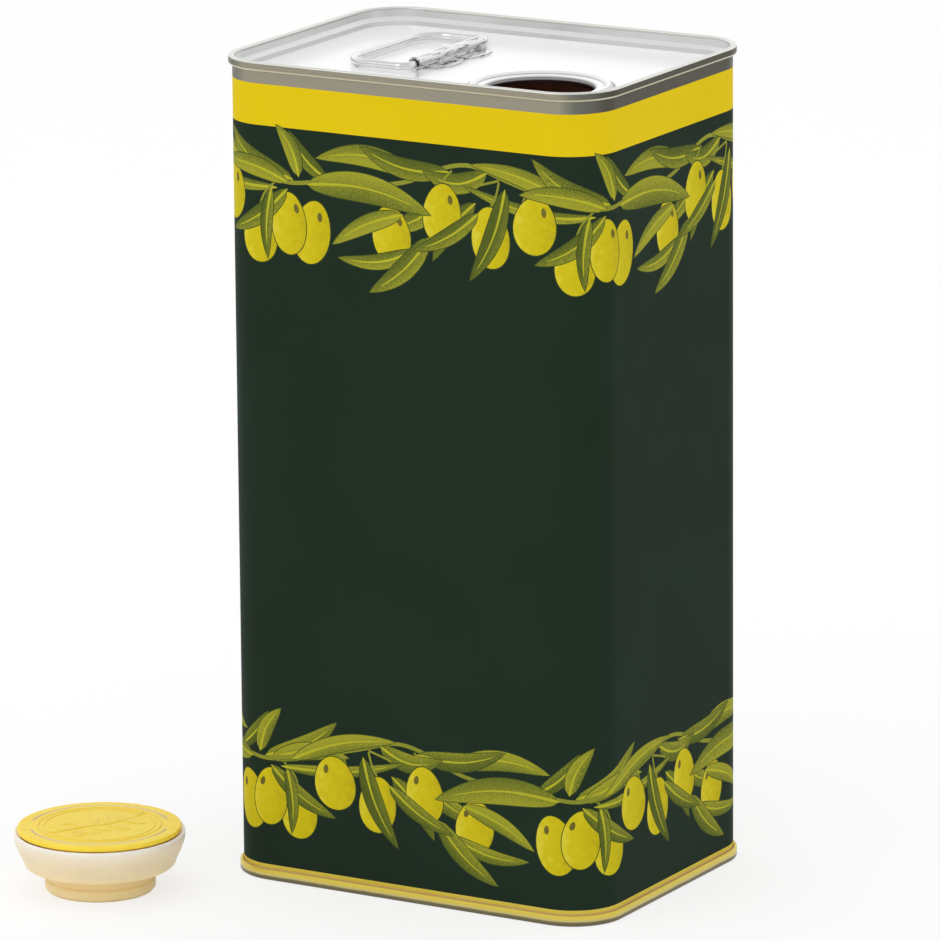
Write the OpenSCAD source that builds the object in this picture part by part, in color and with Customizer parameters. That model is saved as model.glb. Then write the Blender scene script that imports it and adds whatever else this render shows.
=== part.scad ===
// Rectangular oil tin with a wire carry handle, and the pull-out pouring
// spout that snaps into its mouth, standing beside it.
// Origin: centre of the tin's base ring. +X right, -Y front, +Z up. Millimetres.

/* [Tin] */
// Width of the tin across the front
tin_w = 129.5; // [110:0.5:150]
// Depth of the tin, front to back
tin_d = 99; // [90:0.5:130]
// Height of the tin over both seams
tin_h = 254; // [150:0.2:320]
// Outside radius of the four upright corners
corner_r = 15.5; // [12:0.5:20]
// Thickness of the tinplate
sheet_t = 0.3; // [0.2:0.05:0.35]
// Width of the welded lap inside the body
lap_w = 1.6; // [1:0.1:3]

/* [Seams] */
// Height of the double seam round the top
top_seam_h = 2.7; // [2.6:0.1:3.8]
// Height of the double seam round the bottom
bottom_seam_h = 3.4; // [2.6:0.1:3.8]
// How far a seam stands out from the body wall
seam_out = 1.2; // [1.2:0.05:1.6]
// Gap between the layers of sheet in a seam
seam_gap = 0.1; // [0.05:0.01:0.12]
// Thickness of the sealing compound in a seam
compound_t = 0.12; // [0.08:0.02:0.2]
// Radius of a seam's rounded crown
crown_r = 0.55; // [0.35:0.05:0.55]
// Length of the end's hook inside a seam
end_hook = 1.9; // [1.4:0.1:2]

/* [End panels] */
// Depth of the top panel below the top of the rim
top_sink = 5.4; // [4.5:0.1:7]
// Depth of the bottom panel inside the base ring
bottom_sink = 4.4; // [4.4:0.1:7]
// Width of the sloped step at the foot of the chuck wall
step_w = 1.2; // [0.8:0.1:2]

/* [Mouth] */
// Radius of the hole that the spout snaps into
mouth_r = 16.3; // [15:0.1:17]
// Length of the neck turned down round the hole
mouth_neck = 2.4; // [2:0.1:2.8]
// Distance of the mouth's axis from the right wall
mouth_from_right = 33.8; // [26:0.2:36]
// Distance of the mouth's axis from the front wall
mouth_from_front = 29.8; // [26:0.2:34]
// Width of the flat ledge between the hole and the bead
ledge_w = 2.9; // [2:0.1:3.5]
// Width of the raised bead round the mouth
bead_w = 2.6; // [1.6:0.1:2.6]
// Height of the raised bead round the mouth
bead_h = 0.95; // [0.5:0.05:1.5]
// Radius of the bend from the ledge into the neck
mouth_bend_r = 0.8; // [0.5:0.05:1]

/* [Carry handle] */
// Diameter of the handle wire
wire_d = 2.4; // [1.8:0.1:3]
// Length of the loop between the middles of its two arms
loop_len = 49; // [44:1:60]
// Reach of the loop from the hinge to the middle of its outer bar
loop_reach = 22; // [20:0.5:30]
// Bend radius at the loop's two outer corners
loop_corner_r = 9; // [6:0.5:14]
// Bend radius where the arms turn into the hinge
loop_pin_r = 3; // [2.2:0.1:4]
// Distance of the hinge from the left wall
hinge_from_left = 49.2; // [38:0.2:54]
// Distance of the handle's middle behind the middle of the tin
handle_y = 5.5; // [0:0.5:10]
// Gap left round the wire in its clip and under the loop
wire_gap = 0.35; // [0.3:0.05:0.5]

/* [Handle clip] */
// Length of bare wire between each bend and the clip's tube
clip_inset = 2; // [1:0.1:4]
// Thickness of the clip's strip
clip_t = 0.6; // [0.5:0.05:0.9]
// Width of the welded flange, from the hinge to the crest of its lobes
flange_w = 8.2; // [6:0.1:9]
// How far the flange stops short of each end of the clip's tube
flange_inset = 3; // [1:0.2:4]
// Notch between the flange's two lobes
lobe_gap = 1.2; // [0.6:0.1:2]
// Width of each oval weld dimple
dimple_w = 2.4; // [1.5:0.1:3]
// Length of each oval weld dimple
dimple_len = 8; // [5:0.5:10]
// Depth of each weld dimple
dimple_depth = 0.35; // [0.1:0.05:0.4]

/* [Spout place] */
// Distance of the loose spout's axis to the left of the tin
spout_aside = 24.8; // [20:0.2:80]
// Distance of the loose spout's axis in front of the tin
spout_ahead = 32; // [30:0.2:80]
// Turn of the loose spout about its own axis
spout_turn = 30; // [0:1:90]

/* [Spout base] */
// How far the plug's snap bead stands over the hole in the tin
snap = 0.6; // [0.4:0.05:0.8]
// Play between the plug's groove and the hole in the tin
groove_play = 0.1; // [0.05:0.01:0.2]
// Height of the plug from its foot to the shoulder
plug_h = 7.2; // [6.6:0.1:9]
// Radius of the cup at its foot
cup_foot_r = 23.3; // [22.8:0.1:24.5]
// Radius of the cup at its rim
cup_rim_r = 26.1; // [25.6:0.1:28]
// Height of the cup from the shoulder to the rim
cup_h = 11.1; // [10:0.1:14]
// Wall thickness of the spout base
base_wall = 1.2; // [1:0.1:1.4]
// Radius of the cup's rounded foot
cup_foot_round = 2.2; // [1.6:0.1:2.4]
// Height of the straight band under the cup's rim
cup_band = 1.9; // [1.6:0.1:2.4]

/* [Pouring neck] */
// Room between the plug and the pouring neck for the sleeve
neck_room = 2.1; // [1.9:0.1:3]
// Wall thickness of the pouring neck
neck_wall = 1.2; // [0.9:0.1:1.6]
// Height of the neck's foot above the floor when it is stowed
neck_foot_h = 1.6; // [1.2:0.1:2.4]
// Thickness of the folding sleeve
sleeve_t = 0.5; // [0.35:0.05:0.6]
// Thickness of the tear-out seal
seal_t = 0.6; // [0.4:0.1:0.9]
// Outside radius of the seal's pull ring
pull_ring_r = 6.5; // [5:0.1:7.5]
// Diameter of the pull ring's bar
pull_ring_bar = 1.8; // [1.4:0.1:2.2]
// Height of the pull ring above its seal
pull_ring_h = 4.2; // [3:0.1:6]

/* [Cap] */
// Width of the cup's rim outside the cap
rim_w = 0.7; // [0.5:0.05:1]
// Thickness of the cap's disc
cap_t = 1.55; // [1.2:0.05:2]
// Radial gap between the cap and the cup's rim
cap_gap = 0.4; // [0.3:0.05:0.6]
// Thickness of the liner under the cap
liner_t = 1; // [0.6:0.1:1.4]
// Room between the neck and the cap's skirt for the thread
thread_room = 1.2; // [1:0.05:1.4]
// Wall thickness of the cap's skirt
skirt_wall = 1.1; // [0.8:0.1:1.5]
// Length of the cap's skirt
skirt_h = 8; // [5:0.1:8.4]

/* [Pull rings] */
// Width of the pull rings in the cap's edge
bail_w = 3.5; // [2.5:0.1:4.5]
// Width of the slot inside each pull ring
slot_w = 0.9; // [0.6:0.1:1.4]
// Half width of the bridges that join the cap's disc to its edge
bridge_half = 5; // [3:0.1:7]
// Gap at the hinge line of each pull ring
bail_gap = 0.35; // [0.3:0.05:0.6]
// Radius that rounds the cap's outer edge
edge_round = 0.5; // [0.2:0.05:0.6]
// Width of the small nib at the back of the cap's disc
nib_w = 1.4; // [0.8:0.1:2]

/* [Hidden] */
$fn = 96;
micron = 0.001;

// Colours
tin_print = [0.11, 0.18, 0.13];
tin_bright = [0.80, 0.80, 0.77];
compound_grey = [0.55, 0.55, 0.52];
spout_cream = [0.90, 0.85, 0.72];
cap_yellow = [0.95, 0.82, 0.25];

// Layers of a seam, measured outward from the body's outer face to the middle of each sheet
chuck_o = -1.5 * sheet_t - seam_gap;
body_o = -sheet_t / 2;
end_hook_o = seam_gap + sheet_t / 2;
cover_o = seam_out - sheet_t / 2;
body_hook_o = (end_hook_o + cover_o) / 2;
hook_bend_r = (cover_o - end_hook_o) / 2;
body_bend_r = (body_hook_o - body_o) / 2;
chuck_draft = 0.1;
chuck_share = 0.54;
panel_corner = 0.3;
strip = 0.8;
step_o = chuck_o - panel_corner - step_w;
panel_run = strip - step_o;
wall_run = 2;
layer_gap = 0.015;
ring_inset = 0.1;

// Handle and clip
hinge_x = tin_w / 2 - hinge_from_left;
clip_len = loop_len - 2 * (loop_pin_r + clip_inset);
panel_z = tin_h - top_sink;
wire_r = wire_d / 2;
hinge_z = panel_z + wire_gap + wire_r;
clip_in_r = wire_r + wire_gap;
clip_out_r = clip_in_r + clip_t;
pin_gap = 1;
flange_root = 1.6;

// Mouth
mouth_x = tin_w / 2 - mouth_from_right;
mouth_y = tin_d / 2 - mouth_from_front;
ledge_r = mouth_r + ledge_w;
bead_out_r = ledge_r + bead_w;
bead_slope = 0.35 * bead_w;
ledge_drop = 0.1;

// Spout, measured up from the floor; its plug is sized by the tin's mouth
spout_x = tin_w / 2 + spout_aside;
spout_y = tin_d / 2 + spout_ahead;
plug_r = mouth_r + snap;
groove_r = mouth_r - groove_play;
groove_h = mouth_neck + bead_h + groove_play;
cap_r = cup_rim_r - rim_w - cap_gap;
cup_top = plug_h + cup_h;
cap_lift = 0.05;
cap_under = cup_top + cap_lift;
cap_top = cap_under + cap_t;
rim_step = cup_top - cap_gap;
rim_in_r = cap_r + cap_gap;
plug_in_r = groove_r - base_wall;
neck_r = plug_in_r - neck_room;
skirt_r = neck_r + thread_room;
sleeve_gap = 0.3;
liner_gap = 0.1;
neck_top = cap_under - 2 * liner_gap - liner_t - cap_lift;
edge = 0.3;
plug_lead = 0.9;
cup_steps = [0.52, 0.42, 0.85, 0.76];
bail_in_r = cap_r - bail_w;
disc_r = bail_in_r - slot_w;

// Points of an arc, from angle a to angle b in n steps
function arc(c, r, a, b, n) = [for (i = [0:n]) let (t = a + (b - a) * i / n) c + r * [cos(t), sin(t)]];
function across(p, q) = [q[1] - p[1], p[0] - q[0]] / norm(q - p);
function mitre(m, n) = (m + n) / (1 + m * n);
// The offset of point i of a path, one unit to its right
function side(p, i) = let (last = len(p) - 1)
    i == 0 ? across(p[0], p[1]) :
    i == last ? across(p[last - 1], p[last]) :
    mitre(across(p[i - 1], p[i]), across(p[i], p[i + 1]));
// A point rounded to the micron, so straight runs and corners share the same values
function to_micron(q) = [round(q[0] / micron) * micron, round(q[1] / micron) * micron];
// The outline of a sheet of thickness t along a path through its middle
function sheet(p, t) = concat([for (i = [0:len(p) - 1]) to_micron(p[i] + side(p, i) * t / 2)],
    [for (i = [len(p) - 1:-1:0]) to_micron(p[i] - side(p, i) * t / 2)]);
function flip(p) = [for (i = [len(p) - 1:-1:0]) [p[i][0], -p[i][1]]];

// The body's rounded rectangle, grown outward by o
module body_outline(o) {
    half_x = tin_w / 2 - corner_r;
    half_y = tin_d / 2 - corner_r;
    square([2 * half_x, 2 * (half_y + corner_r + o)], center = true);
    square([2 * (half_x + corner_r + o), 2 * half_y], center = true);
    for (x = [-half_x, half_x], y = [-half_y, half_y])
        translate([x, y]) circle(r = corner_r + o);
}

// Carries a section round the body's rounded rectangle: x outward from the wall, y up
module round_the_body(section) {
    half_x = tin_w / 2 - corner_r;
    half_y = tin_d / 2 - corner_r;
    for (turn = [0:3]) {
        run = turn % 2 == 0 ? half_y : half_x;
        reach = turn % 2 == 0 ? half_x : half_y;
        rotate([0, 0, 90 * turn]) {
            translate([reach + corner_r, run, 0]) rotate([90, 0, 0])
                linear_extrude(2 * run) polygon(section);
            translate([reach, run, 0]) rotate_extrude(angle = 90)
                polygon([for (p = section) [p[0] + corner_r, p[1]]]);
        }
    }
}

// The path of an end's sheet, from its hook round the seam to the panel; y is up from the seam's crown
function end_path(seam_h, sink) = concat(
    [[end_hook_o, -seam_h + end_hook]],
    arc([body_hook_o, -seam_h + hook_bend_r + sheet_t / 2], hook_bend_r, 180, 360, 6),
    arc([cover_o - crown_r, -sheet_t / 2 - crown_r], crown_r, 0, 90, 4),
    arc([chuck_o + crown_r, -sheet_t / 2 - crown_r], crown_r, 90, 180, 4),
    [[chuck_o - chuck_draft, -sink * chuck_share],
     [chuck_o - chuck_draft - step_w, -sink * chuck_share - step_w],
     [step_o, -sink - sheet_t / 2],
     [-panel_run, -sink - sheet_t / 2]]);

// The path of the body's sheet in a seam, from the wall over to the body hook
function hook_path(seam_h) = let (bend_y = -1.5 * sheet_t - compound_t - 2 * layer_gap - body_bend_r)
    concat([[body_o, -seam_h - wall_run]],
        arc([(body_o + body_hook_o) / 2, bend_y], body_bend_r, 180, 0, 6),
        [[body_hook_o, -seam_h + 2 * sheet_t + seam_gap]]);

module body_shell() {
    foot = flip(hook_path(bottom_seam_h));
    head = [for (p = hook_path(top_seam_h)) p + [0, tin_h]];
    wall = concat([for (i = [0:len(foot) - 2]) foot[i]], [for (i = [1:len(head) - 1]) head[i]]);
    color(tin_print) union() {
        round_the_body(sheet(wall, sheet_t));
        translate([-tin_w / 2 + sheet_t / 2, -lap_w / 2, bottom_seam_h + bottom_sink])
            cube([sheet_t, lap_w, tin_h - top_seam_h - bottom_seam_h - top_sink - bottom_sink]);
    }
}

// The mouth's section: panel, bead, ledge and the neck turned down; x is the radius, y up from the panel
mouth_path = let (m = -sheet_t / 2, r = mouth_bend_r) concat(
    [[bead_out_r + strip, m], [bead_out_r, m]],
    [[bead_out_r - bead_slope, bead_h + m], [ledge_r + bead_slope, bead_h + m]],
    [[ledge_r, m + ledge_drop]],
    arc([mouth_r + sheet_t / 2 + r, m - r], r, 90, 180, 4),
    [[mouth_r + sheet_t / 2, -mouth_neck]]);

module top_end() {
    color(tin_bright) union() {
        translate([0, 0, tin_h]) round_the_body(sheet(end_path(top_seam_h, top_sink), sheet_t));
        difference() {
            translate([0, 0, panel_z - sheet_t]) linear_extrude(sheet_t) body_outline(-panel_run);
            translate([mouth_x, -mouth_y, panel_z - 1]) cylinder(r = bead_out_r + strip / 2, h = 2);
        }
        translate([mouth_x, -mouth_y, panel_z]) rotate_extrude() polygon(sheet(mouth_path, sheet_t));
    }
}

module bottom_end() {
    color(tin_bright) union() {
        round_the_body(flip(sheet(end_path(bottom_seam_h, bottom_sink), sheet_t)));
        translate([0, 0, bottom_sink]) linear_extrude(sheet_t) body_outline(-panel_run);
    }
}

// A ring of sealing compound between the cover and the body hook
module compound_ring() {
    linear_extrude(compound_t) difference() {
        body_outline(body_hook_o - ring_inset);
        body_outline(body_o + ring_inset);
    }
}

module top_seam_compound() {
    color(compound_grey) translate([0, 0, tin_h - sheet_t - compound_t - layer_gap]) compound_ring();
}

module bottom_seam_compound() {
    color(compound_grey) translate([0, 0, sheet_t + layer_gap]) compound_ring();
}

// The clip's section: a flat flange that curls up and over the wire
module clip_section() {
    difference() {
        union() {
            difference() {
                circle(r = clip_out_r);
                polygon([[0, 0], [-3 * clip_out_r, -clip_out_r * 0.9], [-3 * clip_out_r, -3 * clip_out_r],
                    [clip_out_r * 0.8, -3 * clip_out_r]]);
            }
            translate([clip_out_r * 0.35, -hinge_z + panel_z]) square([clip_out_r * 0.75, clip_t]);
        }
        circle(r = clip_in_r);
        translate([-5 * clip_out_r, -hinge_z + panel_z - clip_out_r]) square([10 * clip_out_r, clip_out_r]);
    }
}

module handle_bracket() {
    flange_len = clip_len - 2 * flange_inset;
    lobe_len = (flange_len - lobe_gap) / 2;
    color(tin_bright) difference() {
        union() {
            translate([-hinge_x, handle_y + clip_len / 2, hinge_z]) rotate([90, 0, 0])
                linear_extrude(clip_len) clip_section();
            translate([-hinge_x, handle_y, panel_z]) linear_extrude(clip_t) union() {
                translate([clip_out_r * 0.8, -flange_len / 2]) square([flange_root, flange_len]);
                for (s = [-1, 1]) translate([0, s * (lobe_len + lobe_gap) / 2]) intersection() {
                    translate([flange_w - lobe_len, 0]) circle(r = lobe_len);
                    translate([clip_out_r, -lobe_len / 2]) square([flange_w, lobe_len]);
                }
            }
        }
        for (s = [-1, 1]) translate([-hinge_x + (clip_out_r + flange_w) / 2 + edge,
            handle_y + s * (lobe_len + lobe_gap) / 2, panel_z + clip_t - dimple_depth])
            linear_extrude(clip_t) union() {
                square([dimple_w, dimple_len - dimple_w], center = true);
                for (e = [-1, 1]) translate([0, e * (dimple_len - dimple_w) / 2]) circle(d = dimple_w);
            }
    }
}

// A quarter bend of the wire about its corner's centre
module wire_bend(r, from) {
    rotate([0, 0, from]) rotate_extrude(angle = 90) translate([r, 0]) circle(r = wire_r);
}

module carry_handle() {
    half = loop_len / 2;
    color(tin_bright) translate([-hinge_x, handle_y, hinge_z]) union() {
        translate([-loop_reach, -(half - loop_corner_r), 0]) rotate([-90, 0, 0])
            cylinder(r = wire_r, h = 2 * (half - loop_corner_r));
        for (s = [-1, 1]) mirror([0, s < 0 ? 1 : 0, 0]) {
            translate([-loop_reach + loop_corner_r, half - loop_corner_r, 0]) wire_bend(loop_corner_r, 90);
            translate([-loop_reach + loop_corner_r, half, 0]) rotate([0, 90, 0])
                cylinder(r = wire_r, h = loop_reach - loop_corner_r - loop_pin_r);
            translate([-loop_pin_r, half - loop_pin_r, 0]) wire_bend(loop_pin_r, 0);
            translate([0, pin_gap / 2, 0]) rotate([-90, 0, 0])
                cylinder(r = wire_r, h = half - loop_pin_r - pin_gap / 2);
        }
    }
}

module at_spout() {
    translate([-spout_x, -spout_y, 0]) rotate([0, 0, spout_turn]) children();
}

// The outer line of the cup's wall, from its foot to its rim
cup_line = let (foot = plug_h + cup_foot_round, top = cup_top - cup_band) [
    [cup_foot_r, foot],
    [cup_foot_r + (cup_rim_r - cup_foot_r) * cup_steps[0], foot + (top - foot) * cup_steps[1]],
    [cup_foot_r + (cup_rim_r - cup_foot_r) * cup_steps[2], foot + (top - foot) * cup_steps[3]],
    [cup_rim_r, top]];

module spout_base() {
    bead_top = plug_h - groove_h;
    foot_r = cup_foot_r - cup_foot_round;
    floor_h = plug_h + base_wall;
    outer = concat(
        [[plug_r - plug_lead * 0.8, 0], [plug_r, plug_lead], [plug_r, bead_top - snap], [groove_r, bead_top],
         [groove_r, plug_h], [foot_r, plug_h]],
        arc([foot_r, plug_h + cup_foot_round], cup_foot_round, -70, -10, 4),
        cup_line,
        [[cup_rim_r, cup_top - edge], [cup_rim_r - edge, cup_top]]);
    inner = concat(
        [[rim_in_r, cup_top], [rim_in_r, rim_step], [cup_rim_r - base_wall - edge, rim_step],
         [cup_rim_r - base_wall - edge, cup_line[3][1] - 3 * edge]],
        [for (i = [2:-1:0]) cup_line[i] - [base_wall, 0]],
        [[cup_foot_r - base_wall - 3 * edge, floor_h], [plug_in_r + 2 * edge, floor_h],
         [plug_in_r, floor_h - 2 * edge], [plug_in_r, plug_lead], [plug_in_r + edge, 0]]);
    color(spout_cream) at_spout() rotate_extrude() polygon(concat(outer, inner));
}

// The folding sleeve's line as it lies in the cup, from the rim down to the neck's foot
sleeve_line = let (off = base_wall + sleeve_gap + sleeve_t / 2, floor_h = plug_h + base_wall,
    fold_h = floor_h + sleeve_gap + sleeve_t / 2, fold_r = plug_in_r - sleeve_gap - sleeve_t / 2) [
    [cup_rim_r - off - edge, cup_line[3][1] - edge],
    [cup_rim_r - off - edge, cup_line[3][1] - 4 * edge],
    [cup_line[2][0] - off, cup_line[2][1]],
    [cup_line[1][0] - off, cup_line[1][1]],
    [cup_foot_r - off - edge, fold_h + 3 * edge],
    [cup_foot_r - off - 4 * edge, fold_h],
    [plug_in_r - edge / 2, fold_h],
    [fold_r, floor_h - 2 * edge],
    [fold_r, neck_foot_h + 3 * edge],
    [neck_r + edge, neck_foot_h + edge / 2]];

module spout_sleeve() {
    color(spout_cream) at_spout() rotate_extrude() polygon(sheet(sleeve_line, sleeve_t));
}

module pour_neck() {
    foot_z = neck_foot_h - neck_wall;
    color(spout_cream) at_spout() rotate_extrude() polygon([
        [neck_r - neck_wall, foot_z], [neck_r + edge, foot_z], [neck_r + edge, neck_foot_h - edge],
        [neck_r, neck_foot_h], [neck_r, neck_top - 2 * edge], [neck_r - 2 * edge, neck_top],
        [neck_r - neck_wall, neck_top]]);
}

module tear_seal() {
    seal_z = neck_foot_h + edge;
    ring_z = seal_z + pull_ring_h;
    color(spout_cream) at_spout() union() {
        translate([0, 0, seal_z]) cylinder(r = neck_r - neck_wall - layer_gap, h = seal_t);
        translate([0, -pull_ring_r + pull_ring_bar / 2, seal_z]) cylinder(d = pull_ring_bar, h = ring_z - seal_z);
        translate([0, 0, ring_z]) rotate_extrude()
            translate([pull_ring_r - pull_ring_bar / 2, 0]) circle(d = pull_ring_bar);
    }
}

module cap_liner() {
    color(spout_cream) at_spout() translate([0, 0, neck_top + liner_gap]) cylinder(r = neck_r - edge / 2, h = liner_t);
}

// The cap's disc and edge as one solid, before the pull rings are parted off
module cap_blank(inner_r) {
    rotate_extrude() polygon([[inner_r, cap_under], [cap_r - edge, cap_under], [cap_r, cap_under + edge],
        [cap_r, cap_top - edge_round], [cap_r - edge_round * 0.3, cap_top - edge_round * 0.3],
        [cap_r - edge_round, cap_top], [inner_r, cap_top]]);
}

module screw_cap() {
    color(cap_yellow) at_spout() union() {
        translate([0, 0, cap_under]) cylinder(r = disc_r, h = cap_t);
        intersection() {
            cap_blank(0);
            translate([-cap_r - 1, -bridge_half, cap_under - 1]) cube([2 * cap_r + 2, 2 * bridge_half, cap_t + 2]);
        }
        translate([-nib_w / 2, disc_r - 1, cap_under + edge]) cube([nib_w, 1 + slot_w / 2, cap_t - edge]);
        translate([0, 0, cap_under - skirt_h]) difference() {
            cylinder(r = skirt_r + skirt_wall, h = skirt_h + edge);
            translate([0, 0, -1]) cylinder(r = skirt_r, h = skirt_h + 1);
        }
    }
}

// A half ring in the cap's edge, cut off along its hinge line
module bail() {
    intersection() {
        cap_blank(bail_in_r);
        translate([-cap_r - 1, bridge_half + bail_gap, cap_under - 1]) cube([2 * cap_r + 2, cap_r, cap_t + 2]);
    }
}

module front_bail() {
    color(cap_yellow) at_spout() mirror([0, 1, 0]) bail();
}

module back_bail() {
    color(cap_yellow) at_spout() bail();
}

body_shell();
top_end();
bottom_end();
top_seam_compound();
bottom_seam_compound();
handle_bracket();
carry_handle();
spout_base();
spout_sleeve();
pour_neck();
tear_seal();
cap_liner();
screw_cap();
front_bail();
back_bail();
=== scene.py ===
import math

import bmesh
import bpy
from mathutils import Matrix, Vector
from mathutils.geometry import delaunay_2d_cdt


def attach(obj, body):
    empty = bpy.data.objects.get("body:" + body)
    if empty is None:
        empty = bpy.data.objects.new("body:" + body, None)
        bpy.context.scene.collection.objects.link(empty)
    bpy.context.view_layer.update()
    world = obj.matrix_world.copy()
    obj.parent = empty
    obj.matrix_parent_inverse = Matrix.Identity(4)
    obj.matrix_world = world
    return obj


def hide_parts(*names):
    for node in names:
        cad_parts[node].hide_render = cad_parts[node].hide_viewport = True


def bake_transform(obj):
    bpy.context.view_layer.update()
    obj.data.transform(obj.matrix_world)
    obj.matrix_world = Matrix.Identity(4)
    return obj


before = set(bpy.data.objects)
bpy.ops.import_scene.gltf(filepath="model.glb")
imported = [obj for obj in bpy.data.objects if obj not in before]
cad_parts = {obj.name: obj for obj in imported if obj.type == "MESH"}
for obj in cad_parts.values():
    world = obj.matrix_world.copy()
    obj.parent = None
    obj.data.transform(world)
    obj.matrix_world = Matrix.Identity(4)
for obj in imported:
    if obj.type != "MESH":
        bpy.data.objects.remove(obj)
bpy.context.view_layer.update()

mm = 0.001
scene = bpy.context.scene

# Oil tin, sizes in millimetres: front is -Y and the floor is z = 0
tin = {"width": 129.5, "depth": 99.0, "cornerRadius": 15.5, "height": 254.0,
       "topSeam": 2.7, "bottomSeam": 3.4}
mouth = {"x": 30.95, "y": -19.7, "neck": 16.3, "ledge": 19.2, "bead": 21.8}
spout = {"x": -89.55, "y": -81.5, "turn": 30}
halfX = tin["width"] / 2 - tin["cornerRadius"]
halfY = tin["depth"] / 2 - tin["cornerRadius"]


# Linear colour from values of 0 to 255
def srgb(red, green, blue):
    out = []
    for value in (red, green, blue):
        value = value / 255
        out.append(value / 12.92 if value <= 0.04045 else ((value + 0.055) / 1.055) ** 2.4)
    return (*out, 1.0)


def grey(value):
    return srgb(value, value, value)


def newMaterial(name, rough=0.5, metal=0.0, specular=0.5):
    material = bpy.data.materials.new(name)
    material.use_nodes = True
    shader = material.node_tree.nodes["Principled BSDF"]
    shader.inputs["Roughness"].default_value = rough
    shader.inputs["Metallic"].default_value = metal
    shader.inputs["Specular IOR Level"].default_value = specular
    return material, material.node_tree, shader


def addNode(tree, kind, **values):
    node = tree.nodes.new(kind)
    for key, value in values.items():
        if key in node.inputs:
            node.inputs[key].default_value = value
        else:
            setattr(node, key, value)
    return node


# Noise in object space, scale in features per metre
def noiseNode(tree, scale, detail=3.0, rough=0.5, stretch=None):
    coords = addNode(tree, "ShaderNodeTexCoord")
    texture = addNode(tree, "ShaderNodeTexNoise", Scale=scale, Detail=detail, Roughness=rough)
    if stretch:
        mapping = addNode(tree, "ShaderNodeMapping", Scale=stretch)
        tree.links.new(coords.outputs["Object"], mapping.inputs["Vector"])
        tree.links.new(mapping.outputs["Vector"], texture.inputs["Vector"])
    else:
        tree.links.new(coords.outputs["Object"], texture.inputs["Vector"])
    return texture.outputs["Fac"]


# The X, Y and Z sockets of a place in object space, of a face's direction, or of the sky's direction
def splitVector(tree, source, output):
    split = addNode(tree, "ShaderNodeSeparateXYZ")
    tree.links.new(addNode(tree, source).outputs[output], split.inputs["Vector"])
    return split.outputs


def placeOf(tree):
    return splitVector(tree, "ShaderNodeTexCoord", "Object")


def normalOf(tree):
    return splitVector(tree, "ShaderNodeNewGeometry", "Normal")


def ramp(tree, source, stops):
    node = addNode(tree, "ShaderNodeValToRGB")
    band = node.color_ramp
    while len(band.elements) < len(stops):
        band.elements.new(0.5)
    for element, (position, colour) in zip(band.elements, stops):
        element.position = position
        element.color = colour
    tree.links.new(source, node.inputs["Fac"])
    return node.outputs["Color"]


def mixColour(tree, factor, first, second, blend="MIX"):
    node = addNode(tree, "ShaderNodeMix", data_type="RGBA", blend_type=blend)
    colours = [socket for socket in node.inputs if socket.type == "RGBA"]
    for socket, value in zip([node.inputs[0]] + colours, (factor, first, second)):
        if isinstance(value, (int, float, tuple)):
            socket.default_value = value
        else:
            tree.links.new(value, socket)
    return [socket for socket in node.outputs if socket.type == "RGBA"][0]


def calc(tree, operation, first, second=None):
    node = addNode(tree, "ShaderNodeMath", operation=operation)
    for socket, value in zip(node.inputs, (first, second)):
        if isinstance(value, (int, float)):
            socket.default_value = value
        elif value is not None:
            tree.links.new(value, socket)
    return node.outputs[0]


def addBump(tree, shader, height, strength, distance):
    node = addNode(tree, "ShaderNodeBump", Strength=strength, Distance=distance)
    tree.links.new(height, node.inputs["Height"])
    tree.links.new(node.outputs["Normal"], shader.inputs["Normal"])


def spread(tree, source, socket, low, high):
    node = addNode(tree, "ShaderNodeMapRange")
    tree.links.new(source, node.inputs["Value"])
    node.inputs["To Min"].default_value = low
    node.inputs["To Max"].default_value = high
    tree.links.new(node.outputs["Result"], socket)


black = (0, 0, 0, 1)
white = (1, 1, 1, 1)
lacquer = {"rough": 0.55, "roughSpread": 0.05, "patches": 90.0, "specular": 0.028,
           "waves": 700.0, "waveStrength": 0.02, "waveHeight": 0.0004}


# Ink under a thin lacquer
def inkMaterial(name, makeColour):
    material, tree, shader = newMaterial(name, rough=lacquer["rough"], specular=lacquer["specular"])
    tree.links.new(makeColour(tree), shader.inputs["Base Color"])
    low = lacquer["rough"] - lacquer["roughSpread"]
    high = lacquer["rough"] + lacquer["roughSpread"]
    spread(tree, noiseNode(tree, lacquer["patches"], 2.0), shader.inputs["Roughness"], low, high)
    waves = noiseNode(tree, lacquer["waves"], 2.0)
    addBump(tree, shader, waves, lacquer["waveStrength"], lacquer["waveHeight"])
    return material


def plainInk(first, second):
    return lambda tree: ramp(tree, noiseNode(tree, 26.0, 2.0), [(0.3, first), (0.7, second)])


# Leaves are stippled, thicker on their dark side, with a paler edge
def leafInk(tree):
    shade = addNode(tree, "ShaderNodeAttribute", attribute_name="shade").outputs["Fac"]
    edge = addNode(tree, "ShaderNodeAttribute", attribute_name="edge").outputs["Fac"]
    stipple = calc(tree, "MULTIPLY", noiseNode(tree, 2600.0, 2.0), 0.55)
    dots = calc(tree, "SUBTRACT", calc(tree, "ADD", stipple, 0.24), calc(tree, "MULTIPLY", shade, 0.46))
    body = ramp(tree, dots, [(0.08, srgb(82, 93, 35)), (0.24, srgb(113, 120, 42)),
                             (0.42, srgb(158, 157, 48))])
    pale = ramp(tree, edge, [(0.84, black), (0.97, grey(200))])
    return mixColour(tree, pale, body, srgb(156, 157, 60))


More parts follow.
